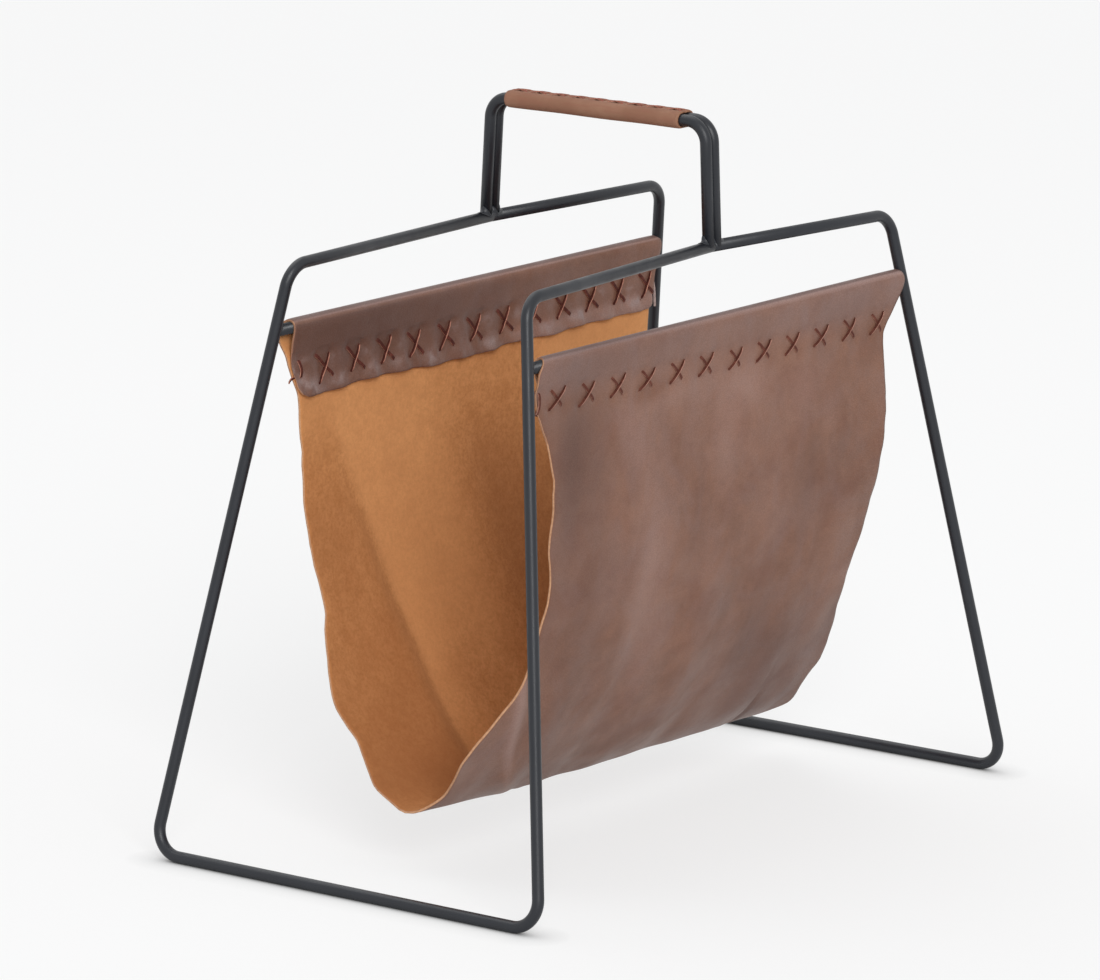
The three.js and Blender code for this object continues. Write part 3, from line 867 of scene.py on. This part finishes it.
all_holes = [
    (*hole_place(side, column, upper), side)
    for side in (-1, 1) for column in range(HOLE_COLUMNS) for upper in (False, True)
]
PUCKER_DEPTH = 0.0011
PUCKER_REACH = (0.0034, 0.003)
PUCKER_LIMIT = 0.012
DRAWN_FLAP = 0.0016
DRAWN_FACE = 0.0006
FLAP_CURL = 0.0026
EDGE_SKIVING_SHARE = 0.28
EDGE_SKIVING_REACH = 0.0022


def of_side(side, name):
    return np.where(side < 0, *HOLES[name])


def between_crosses(x, side, in_flap):
    """1 midway between the crosses of a face and 0 at their middles."""
    crossed_first = (side < 0) == in_flap
    turns = (x - of_side(side, "row_start")) / (2 * of_side(side, "pitch"))
    return 0.5 - 0.5 * wave(turns + np.where(crossed_first, 0.0, 0.5))


def pucker(x, height, side, in_hem, in_flap):
    """How far the smooth face is drawn in round the holes and swells between the crosses."""
    depth = np.zeros_like(x)
    for hole_x, hole_z, hole_side in all_holes:
        near = (np.abs(x - hole_x) < PUCKER_LIMIT) & (side == hole_side) & in_hem
        depth[near] -= PUCKER_DEPTH * (
            hump(x[near], hole_x, PUCKER_REACH[0]) * hump(height[near], hole_z, PUCKER_REACH[1])
        )
    middle = (of_side(side, "top") + of_side(side, "bottom")) / 2
    drawn = np.where(in_flap, DRAWN_FLAP, DRAWN_FACE) * hump(height, middle, 0.011)
    return depth - drawn * (1 - between_crosses(x, side, in_flap)) * in_hem


def flap_form(x, height, from_edge, side):
    """How a flap lifts and drops at its free edge, which wanders and curls between the stitches."""
    creases = 0.00045 * wave((x + 0.5 * height) / 0.0145, 2 * wave(x / 0.061))
    creases += 0.0002 * wave((x - 0.8 * height) / 0.0093, 1.5 * wave(x / 0.043, 1))
    lift = creases * hump(height, FLAP_EDGE_HEIGHT + 0.007, 0.009)
    curl = FLAP_CURL * between_crosses(x, side, True) * (0.75 + 0.25 * wave(x / 0.117, side))
    lift += curl * np.clip(1 - from_edge / 0.015, 0, 1) ** 1.3
    drop = unevenness(x, 31, 0.16, 0.035, 0.0007) * side + 0.0022 * ramp(x, 0.02, 0.15)
    return lift, drop * np.clip(1 - from_edge / 0.02, 0, 1)


def along_section(run_along, *tables):
    return [np.interp(run_along, station_run, table) for table in tables]


def sheet_surface(x, run_along, layer, lift=0.0):
    """Places on the sheet: layer 1 is the smooth face and -1 the suede one."""
    side = np.where(run_along <= MIDDLE_RUN, 1, -1)
    share, left, right = along_section(run_along, station_share, left_reach, right_reach)
    y, height, out_y, out_z = along_section(run_along, station_y, station_z, normal_y, normal_z)
    from_edge = np.minimum(run_along, FULL_RUN - run_along)
    in_flap = from_edge < FLAP_RUN + 0.004
    in_hem = (share <= 0.02) & (height < SLING_HEIGHT - 0.005)
    from_end = np.minimum(np.minimum(x + left, right - x), from_edge)
    skived = 1 - EDGE_SKIVING_SHARE * np.exp(-np.maximum(from_end, 0) / EDGE_SKIVING_REACH)
    flap_lift, flap_drop = flap_form(x, height, from_edge, side)
    reach = fold_offset(x, share, side) + end_flutter(x, left, right, run_along, share)
    reach = reach + layer * LEATHER_THICKNESS / 2 * skived + lift + flap_lift * in_flap
    if layer > 0:
        reach = reach + pucker(x, height, side, in_hem, in_flap)
    across = np.clip((x + left) / (left + right), 0, 1)
    sag = BOTTOM_SAG * (1 - (1 - across) ** 2.6)
    sag += END_SAG * (hump(x, 0.2, 0.024) + hump(x, -0.08, 0.018))
    drop = flap_drop * in_flap - sag * share ** 3 * (4 - 3 * share)
    return np.stack([x, y + out_y * reach, height + out_z * reach + drop], axis=-1)


HEM_RUN = float(station_run[np.argmax(station_share > 0)])
RIM_BULGE = 0.0003
RIM_FUZZ = 0.00008
BURNISHED_TONE = -0.8


def mesh_rows():
    """The run of each row of the sheet's mesh: close in the hems and wider apart in the panels."""
    hem_rows = int(round(HEM_RUN / HEM_ROW_SPACING))
    panel_rows = int(round((FULL_RUN - 2 * HEM_RUN) / PANEL_ROW_SPACING))
    return np.concatenate([
        np.linspace(0, HEM_RUN, hem_rows, endpoint=False),
        np.linspace(HEM_RUN, FULL_RUN - HEM_RUN, panel_rows, endpoint=False),
        np.linspace(FULL_RUN - HEM_RUN, FULL_RUN, hem_rows + 1),
    ])


def build_sheet():
    """The sheet's shape, and the values at its points: the smooth face, the suede one and the rim."""
    rows = mesh_rows()
    columns = int(round(2 * HEM_HALF_LENGTH / COLUMN_SPACING)) + 1
    left, right = along_section(rows[:, None], left_reach, right_reach)
    x = ((left + right) * np.linspace(0, 1, columns) - left).ravel()
    along = np.repeat(rows, columns)
    smooth_face = sheet_surface(x, along, 1)
    suede_face = sheet_surface(x, along, -1)
    size = len(x)
    grid = np.arange(size).reshape(len(rows), columns)
    rim = np.concatenate([grid[0], grid[1:, -1], grid[-1, -2::-1], grid[-2:0:-1, 0]])
    middle = (smooth_face[rim] + suede_face[rim]) / 2
    tangent = np.roll(middle, -1, axis=0) - np.roll(middle, 1, axis=0)
    outward = unit(np.cross(tangent, smooth_face[rim] - suede_face[rim]))
    fuzz = np.random.default_rng(8).normal(0, RIM_FUZZ, len(rim))
    core = middle + outward * (RIM_BULGE + fuzz)[:, None]

    smooth_faces = np.array(grid_faces(len(rows), columns, closed_columns=False))
    suede_faces = size + smooth_faces[:, ::-1]
    rings = np.concatenate([rim, 2 * size + np.arange(len(rim)), size + rim])
    rim_faces = rings[np.array(grid_faces(3, len(rim)))[:, ::-1]]
    faces = np.vstack([smooth_faces, suede_faces, rim_faces]).tolist()
    face_materials = np.repeat([0, 1, 2], [len(smooth_faces), len(suede_faces), len(rim_faces)])

    share, height, facing_up = along_section(along, station_share, station_z, normal_z)
    front = along > MIDDLE_RUN
    back_flap = along < station_run[top_station]
    burnished = BURNISHED_TONE * (np.minimum(along, FULL_RUN - along)[rim] < HEM_RUN)
    plain = np.zeros(size + len(rim))
    tone = outer_tone(x, height, share, front, back_flap, facing_up)
    painted_sheen = outer_painted_sheen(x, height, front, back_flap, facing_up)
    values = {
        "tone": np.concatenate([tone, inner_tone(x, share, front), burnished]),
        "painted_sheen": np.concatenate([painted_sheen, plain]),
        "flap_highlight": np.concatenate([flap_shine(x, height) * back_flap, plain]),
    }
    return (np.vstack([smooth_face, suede_face, core]), faces, face_materials), values


sheet_shape, sheet_values = build_sheet()
sling = make_piece("sling_sheet", sheet_shape, [leather, flesh, raw], "leather_sling")
for name, values in sheet_values.items():
    sling.data.attributes.new(name, "FLOAT", "POINT").data.foreach_set("value", values)


# The lacing: one flat thong per hem. It runs along in a zigzag, passing through both layers at
# every hole, turns at the far end and comes back crossing itself.
LACE_HALF_WIDTH = 0.0011
LACE_HALF_THICKNESS = 0.0005
LACE_CHAMFER = 0.0001
LACE_SCALE = {-1: 0.85, 1: 1.0}
TAIL_SCALE = 0.85
STITCH_STEPS = 20
TAIL_STEPS = 9
CROSSING_LIFT = 0.0005
TWISTED_LIFT = 0.0003
TURN_LIFT = 0.0004
STITCH_TWIST = {-1: math.radians(90), 1: math.radians(100)}
TWIST_REACH = 0.0022
SUNK_REACH = 0.0016
SUNK_DEPTH = 0.0017
SUNK_TURN = 1.2
# The thong's outline has eight corners, and these two start its cut sides.
CUT_CORNERS = (1, 5)


def hem_run(side, height, on_flap):
    """The run along the section at a height in the hem, on the flap or on the outer layer."""
    chosen = slice(0, top_station) if on_flap else slice(top_station, station_count // 2)
    order = np.argsort(station_z[chosen])
    back_run = float(np.interp(height, station_z[chosen][order], station_run[chosen][order]))
    return back_run if side > 0 else FULL_RUN - back_run


def ribbon(points, up, scale):
    """A thong along a path, its flat side kept square to the given up vectors."""
    wide, thick, cut = (scale * size for size in (LACE_HALF_WIDTH, LACE_HALF_THICKNESS, LACE_CHAMFER))
    half = [(thick, cut - wide), (thick - cut, -wide), (cut - thick, -wide), (-thick, cut - wide)]
    section = np.array(half + [(-across, -aside) for across, aside in half])
    tangents = unit(np.gradient(points, axis=0))
    normals = unit(up - tangents * np.sum(up * tangents, axis=1)[:, None])
    sides = [int(corner in CUT_CORNERS) for corner in range(len(section))]
    return *tube(points, tangents, normals, section), sides * (len(points) - 1) + [1, 1]


def stitch(side, start, end, on_flap, lift, twist):
    """Points of one stitch on its face, from hole to hole, and the way that its top faces.

    A twisted stitch turns its lower right cut side outwards.
    """
    shares = np.linspace(0, 1, STITCH_STEPS)
    x, z = (low + (high - low) * shares for low, high in zip(start, end))
    runs = np.array([hem_run(side, height, on_flap) for height in z])
    from_hole = np.minimum(shares, 1 - shares) * math.dist(start, end)
    sunk = np.clip(1 - from_hole / SUNK_REACH, 0, 1)
    rise = LACE_HALF_THICKNESS + lift * np.sin(np.pi * shares) ** 2 - SUNK_DEPTH * sunk ** 1.5
    points = sheet_surface(x, runs, 1, rise)
    outward = unit(sheet_surface(x, runs, 1, rise + 0.001) - points)
    along = unit(np.gradient(points, axis=0))
    aside = unit(np.array([1.0, 0.0, 0.0]) - along * along[:, :1])
    angle = twist * np.clip(from_hole / TWIST_REACH, 0, 1)
    facing = outward * np.cos(angle)[:, None] - aside * np.sin(angle)[:, None]
    flip = -1 if on_flap else 1
    turn = np.where(shares < 0.5, -sunk, sunk) * flip
    return points, flip * facing + along * (turn * SUNK_TURN)[:, None]


def hem_lace(side):
    """The whole thong of a hem: back along the row of holes, round its end and out again."""
    route = [(column, column % 2 == 0) for column in reversed(range(HOLE_COLUMNS))]
    route += [(column, column % 2 == 1) for column in range(HOLE_COLUMNS)]
    stitches = []
    for (column, upper), (next_column, next_upper) in zip(route, route[1:]):
        start = hole_place(side, column, upper)
        end = hole_place(side, next_column, next_upper)
        on_flap, lift, twist = stitched_on_flap(side, min(column, next_column)), 0, 0
        if column == next_column:
            on_flap, lift = not stitched_on_flap(side, 0), TURN_LIFT
        elif (end[1] - start[1]) * (end[0] - start[0]) > 0:
            lift, twist = CROSSING_LIFT + TWISTED_LIFT, STITCH_TWIST[side]
        stitches.append(stitch(side, start, end, on_flap, lift, twist))
    points, ups = (np.vstack(parts) for parts in zip(*stitches))
    return ribbon(points, ups, LACE_SCALE[side])


def lace_tail(side, spots, pale=False):
    """A thong's short free end. A pale one shows its greyish flesh side."""
    spots = np.array(spots)
    fine = np.linspace(0, 1, TAIL_STEPS)
    shares = np.linspace(0, 1, len(spots))
    points = np.column_stack([np.interp(fine, shares, places) for places in spots.T])
    verts, faces, face_materials = ribbon(softened(points, 3), np.array([0.0, side, 0.3]), TAIL_SCALE)
    return verts, faces, [2] * len(faces) if pale else face_materials


middle_y = SLING_HALF_WIDTH
LEFT_TAIL = [
    (-0.195, middle_y, 0.322), (-0.1995, middle_y + 0.0005, 0.3212),
    (-0.2035, middle_y - 0.001, 0.3195),
]
RIGHT_TAIL = [
    (0.2085, middle_y, 0.334), (0.2136, middle_y, 0.329),
    (0.214, middle_y - 0.0005, 0.32), (0.2138, middle_y - 0.001, 0.3112),
]
back_lace = join_shapes([hem_lace(1), lace_tail(1, LEFT_TAIL), lace_tail(1, RIGHT_TAIL, pale=True)])
laces = [
    make_piece(name, shape, [skin, cut, thong_flesh], smooth=False)
    for name, shape, skin, cut in (
        ("front_hem_lace", hem_lace(-1), front_thong, front_thong_side),
        ("back_hem_lace", back_lace, shaded_back_thong, thong_side),
    )
]

# The grip: a sleeve wrapped round both handle rods, its edges meeting along the top.
GRIP_INNER = ROD_RADIUS + SEAT_GAP
GRIP_SIDES = 96
GRIP_RINGS = 130
GRIP_END_ROUNDING = 0.0005
SEAM_GROOVE = 0.0006
SEAM_PULL = 0.0003
GRIP_WOBBLE = 0.00012
SEAM_STITCHES = 9
SEAM_PITCH = GRIP_LENGTH / SEAM_STITCHES
SEAM_LACE_SCALE = 0.62
SEAM_STEPS = 15
SEAM_SUNK_SHARE = 0.12
SEAM_HALF_REACH = 0.0036
SEAM_CROSSING_LIFT = 0.0006
SEAM_SUNK_DEPTH = 0.001


def stadium_ring(radius):
    """A stadium round both handle rods, from the seam on top, as (x, z) and outward normals."""
    offset, arc, quarter = HANDLE_ROD_OFFSET, math.pi * radius, math.pi / 2
    breaks = np.cumsum([0, offset, arc, 2 * offset, arc, offset])
    travel = breaks[-1] * np.arange(GRIP_SIDES) / GRIP_SIDES
    angle = np.interp(travel, breaks, [quarter, quarter, -quarter, -quarter, -3 * quarter, -3 * quarter])
    shift = np.interp(travel, breaks, [0, offset, offset, -offset, -offset, 0])
    normals = np.column_stack([np.cos(angle), np.sin(angle)])
    return normals * radius + np.column_stack([shift, 0 * shift]), normals


def build_grip():
    outer, normals = stadium_ring(GRIP_INNER + GRIP_THICKNESS)
    inner, _ = stadium_ring(GRIP_INNER)
    index = np.arange(GRIP_SIDES)
    from_seam = np.minimum(index, GRIP_SIDES - index) / GRIP_SIDES

    def ring(spots, y):
        return [(HANDLE_OFF_CENTRE + x, y, HANDLE_HEIGHT + z) for x, z in spots]

    verts = []
    y = np.linspace(-GRIP_FRONT_REACH, GRIP_BACK_REACH, GRIP_RINGS)
    for place in y:
        from_end = min(place + GRIP_FRONT_REACH, GRIP_BACK_REACH - place)
        phase = math.cos(2 * math.pi * (place + GRIP_FRONT_REACH) / SEAM_PITCH)
        shift = GRIP_WOBBLE * np.sin(place / 0.011 + 5 * from_seam)
        shift -= GRIP_END_ROUNDING * math.exp(-from_end / 0.0008)
        shift -= SEAM_GROOVE * hump(from_seam, 0, 0.012)
        shift -= SEAM_PULL * (1 - phase) * hump(from_seam, 0, 0.06)
        verts.extend(ring(outer + normals * shift[:, None], place))
    verts.extend(ring(inner, y[-1]) + ring(inner, y[0]))
    faces = [face[::-1] for face in grid_faces(GRIP_RINGS + 2, GRIP_SIDES, closed_rows=True)]
    return verts, faces, np.repeat([0] * (GRIP_RINGS - 1) + [1, 0, 1], GRIP_SIDES)


def grip_lace():
    """Cross stitches that close the sleeve's seam."""
    parts = []
    shares = np.linspace(0, 1, SEAM_STEPS)
    sunk = np.clip(1 - np.minimum(shares, 1 - shares) / SEAM_SUNK_SHARE, 0, 1)
    for index in range(SEAM_STITCHES):
        y = -GRIP_FRONT_REACH + SEAM_PITCH * (index + 0.06 + 0.88 * shares)
        for way, lift in ((1, 0.0), (-1, SEAM_CROSSING_LIFT)):
            x = HANDLE_OFF_CENTRE + way * SEAM_HALF_REACH * (2 * shares - 1)
            rise = 0.0001 + lift * np.sin(np.pi * shares) ** 2 - SEAM_SUNK_DEPTH * sunk ** 1.5
            z = HANDLE_HEIGHT + GRIP_INNER + GRIP_THICKNESS + rise
            parts.append(ribbon(np.column_stack([x, y, z]), np.array([0.0, 0.0, 1.0]), SEAM_LACE_SCALE))
    return join_shapes(parts)


make_piece("grip_sleeve_stitched", build_grip(), [grip_skin, grip_raw], "grip_sleeve")
make_piece("grip_lace", grip_lace(), [grip_thong, thong_side], smooth=False)

# Floor, light and backdrop. What the camera sees of the floor is part lit surface, which keeps the
# shadows, and part plain white glow, with a painted contact shadow close to what stands on it.
FLOOR_HALF_SIZE = 9.0
FLOOR_WHITE_SHARE = 0.62
FAR_DIRECTION = (0.807, 0.59, 0.0)
FAR_REACH = 3.6
CONTACT_REACH = 0.024
CONTACT_DEPTH = 1.4
WORLD_LIGHT = 0.56


def white_floor():
    look = Look("floor_white", (240, 240, 240))
    dot = {"operation": "DOT_PRODUCT"}
    away = look.add("ShaderNodeVectorMath", look.place, FAR_DIRECTION, settings=dot)
    distant = look.spread(away.outputs["Value"], 0.2, FAR_REACH)
    paper = look.blend(distant, srgb(254, 254, 254), srgb(249, 249, 249))
    # A painted contact shadow: ambient occlusion darkens the white glow near what stands on the floor.
    nearness = look.add("ShaderNodeAmbientOcclusion", settings={"samples": 16}, Distance=CONTACT_REACH)
    contact_shadow = look.math("POWER", nearness.outputs["AO"], CONTACT_DEPTH)
    glow = look.add("ShaderNodeEmission", Color=paper, Strength=contact_shadow)
    white_share = look.math("MULTIPLY", look.seen_rays(), FLOOR_WHITE_SHARE)
    whitened = look.mixed_shaders(white_share, look.surface, glow)
    look.feed(look.nodes["Material Output"].inputs["Surface"], whitened)
    return look.finish(Roughness=0.8, Specular_IOR_Level=0.1)


floor_corners = [
    (x * FLOOR_HALF_SIZE, y * FLOOR_HALF_SIZE, 0) for x, y in ((-1, -1), (1, -1), (1, 1), (-1, 1))
]
floor = add_mesh("floor", (floor_corners, [(0, 1, 2, 3)], [0]), [white_floor()])

world = bpy.data.worlds.new("studio")
world.use_nodes = True
scene.world = world
world.node_tree.nodes.clear()
sky = Nodes(world.node_tree)
lighting = sky.add("ShaderNodeBackground", Color=(0.98, 0.99, 1.0, 1.0), Strength=WORLD_LIGHT)
backdrop = sky.add("ShaderNodeBackground", Color=srgb(248, 248, 248), Strength=1.0)
sky_shader = sky.mixed_shaders(sky.seen_rays(), lighting, backdrop)
sky.add("ShaderNodeOutputWorld", Surface=sky_shader)


def sun(name, towards, strength, spread_degrees):
    data = bpy.data.lights.new(name, "SUN")
    data.energy = strength
    data.angle = math.radians(spread_degrees)
    add_object(name, data).rotation_euler = Vector(towards).to_track_quat("-Z", "Y").to_euler()


sun("key_light", (0.68, 0.73, -0.55), 1.9, 30)
sun("rear_light", (-0.1, -0.55, -1.0), 0.7, 55)

scene.view_settings.view_transform = "Standard"
